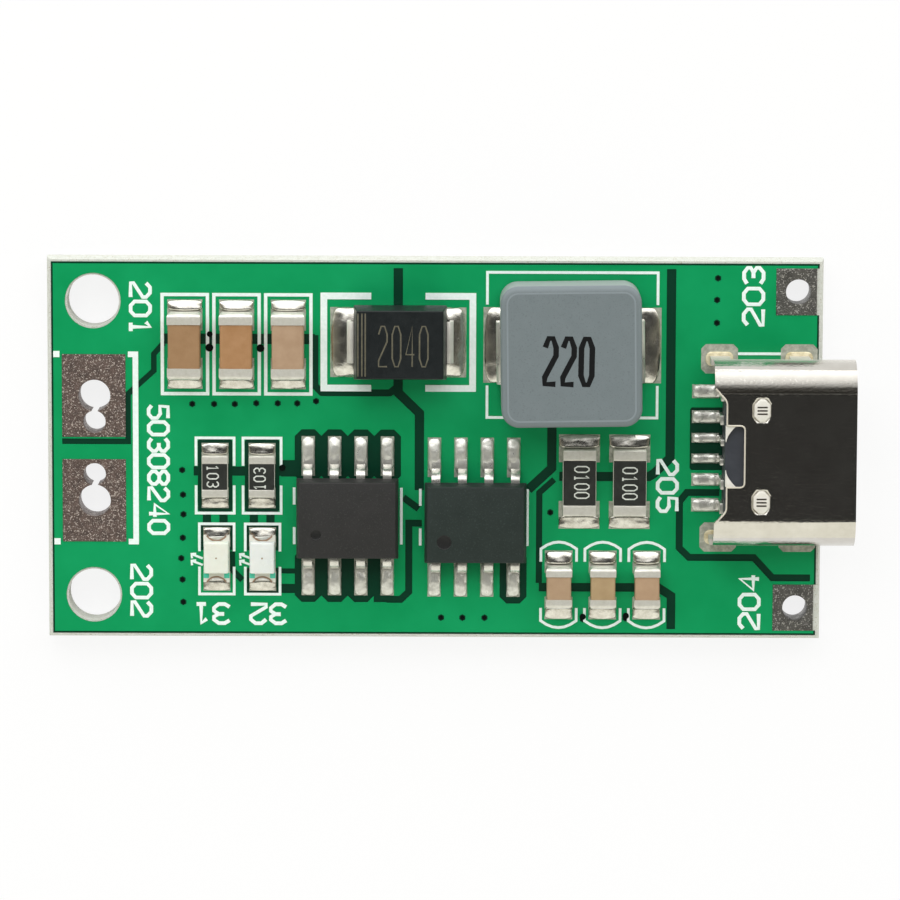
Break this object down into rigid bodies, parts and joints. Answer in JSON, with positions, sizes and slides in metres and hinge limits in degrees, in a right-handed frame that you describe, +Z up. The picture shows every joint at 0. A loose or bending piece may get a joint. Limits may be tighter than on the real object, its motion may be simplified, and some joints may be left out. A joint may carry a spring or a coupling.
{
  "type": "lithium battery charger module",
  "caption": "Small green circuit board that charges a lithium cell from a USB-C socket, with inductor, diode, two chips, lamps and tinned wire pads.",
  "frame": {"origin": "centre of the board's underside", "axes": "+X out of the mouth of the socket, along the board; +Y towards the battery capacitors' side; +Z up from the board on the parts' side"},
  "size_m": [0.0387, 0.0184, 0.0048],
  "materials": {
    "alumina": "white alumina",
    "ceramic_orange": "orange-brown ceramic",
    "ceramic_pale": "pale brown ceramic",
    "ceramic_tan": "tan ceramic",
    "charger_resin": "warm black moulding resin",
    "converter_resin": "cool black moulding resin",
    "diode_resin": "black moulding resin",
    "end_metal": "tinned end metal",
    "gold_contact": "gold-plated copper",
    "inductor_powder": "grey pressed iron powder",
    "laminate": "sawn glass-fibre laminate",
    "led_base": "white resin laminate",
    "lens_ivory": "ivory clear resin",
    "lens_white": "milky clear resin",
    "overcoat": "black glass overcoat",
    "print": "white legend ink",
    "shell_steel": "nickel-plated steel",
    "socket_plastic": "black moulded plastic",
    "solder": "shiny solder",
    "solder_mask": "glossy green solder mask",
    "tinned_lead": "tinned copper lead",
    "tinned_pad": "rough tinned copper"
  },
  "bodies": {
    "root": {"circuit_board": "laminate", "solder_mask_top": "solder_mask", "solder_mask_bottom": "solder_mask", "silkscreen_outlines": "print", "battery_pad_positive": "tinned_pad", "battery_pad_negative": "tinned_pad", "input_pad_ground": "tinned_pad", "input_pad_positive": "tinned_pad", "surface_lands": "solder", "usb_slot_lands": "tinned_pad", "inductor_core": "inductor_powder", "inductor_terminals": "tinned_lead", "diode_body": "diode_resin", "diode_leads": "tinned_lead", "charger_chip_body": "charger_resin", "charger_chip_leads": "tinned_lead", "converter_chip_body": "converter_resin", "converter_chip_leads": "tinned_lead", "usb_shell": "shell_steel", "usb_insulator": "socket_plastic", "usb_midplate": "shell_steel", "usb_contacts": "gold_contact", "capacitor_solder": "solder", "resistor_solder": "solder", "led_solder": "solder", "diode_solder": "solder", "inductor_solder": "solder", "chip_solder": "solder", "usb_solder": "solder", "battery_capacitor_1_ceramic": "ceramic_tan", "battery_capacitor_1_end_caps": "end_metal", "input_capacitor_1_ceramic": "ceramic_pale", "input_capacitor_1_end_caps": "end_metal", "battery_capacitor_2_ceramic": "ceramic_orange", "battery_capacitor_2_end_caps": "end_metal", "input_capacitor_2_ceramic": "ceramic_pale", "input_capacitor_2_end_caps": "end_metal", "battery_capacitor_3_ceramic": "ceramic_pale", "battery_capacitor_3_end_caps": "end_metal", "input_capacitor_3_ceramic": "ceramic_pale", "input_capacitor_3_end_caps": "end_metal", "led_resistor_1_base": "alumina", "led_resistor_1_overcoat": "overcoat", "led_resistor_1_end_plating": "end_metal", "led_resistor_2_base": "alumina", "led_resistor_2_overcoat": "overcoat", "led_resistor_2_end_plating": "end_metal", "sense_resistor_1_base": "alumina", "sense_resistor_1_overcoat": "overcoat", "sense_resistor_1_end_plating": "end_metal", "sense_resistor_2_base": "alumina", "sense_resistor_2_overcoat": "overcoat", "sense_resistor_2_end_plating": "end_metal", "charging_led_base": "led_base", "charging_led_lens": "lens_ivory", "charging_led_end_plating": "gold_contact", "full_led_base": "led_base", "full_led_lens": "lens_white", "full_led_end_plating": "gold_contact"}
  },
  "joints": []
}
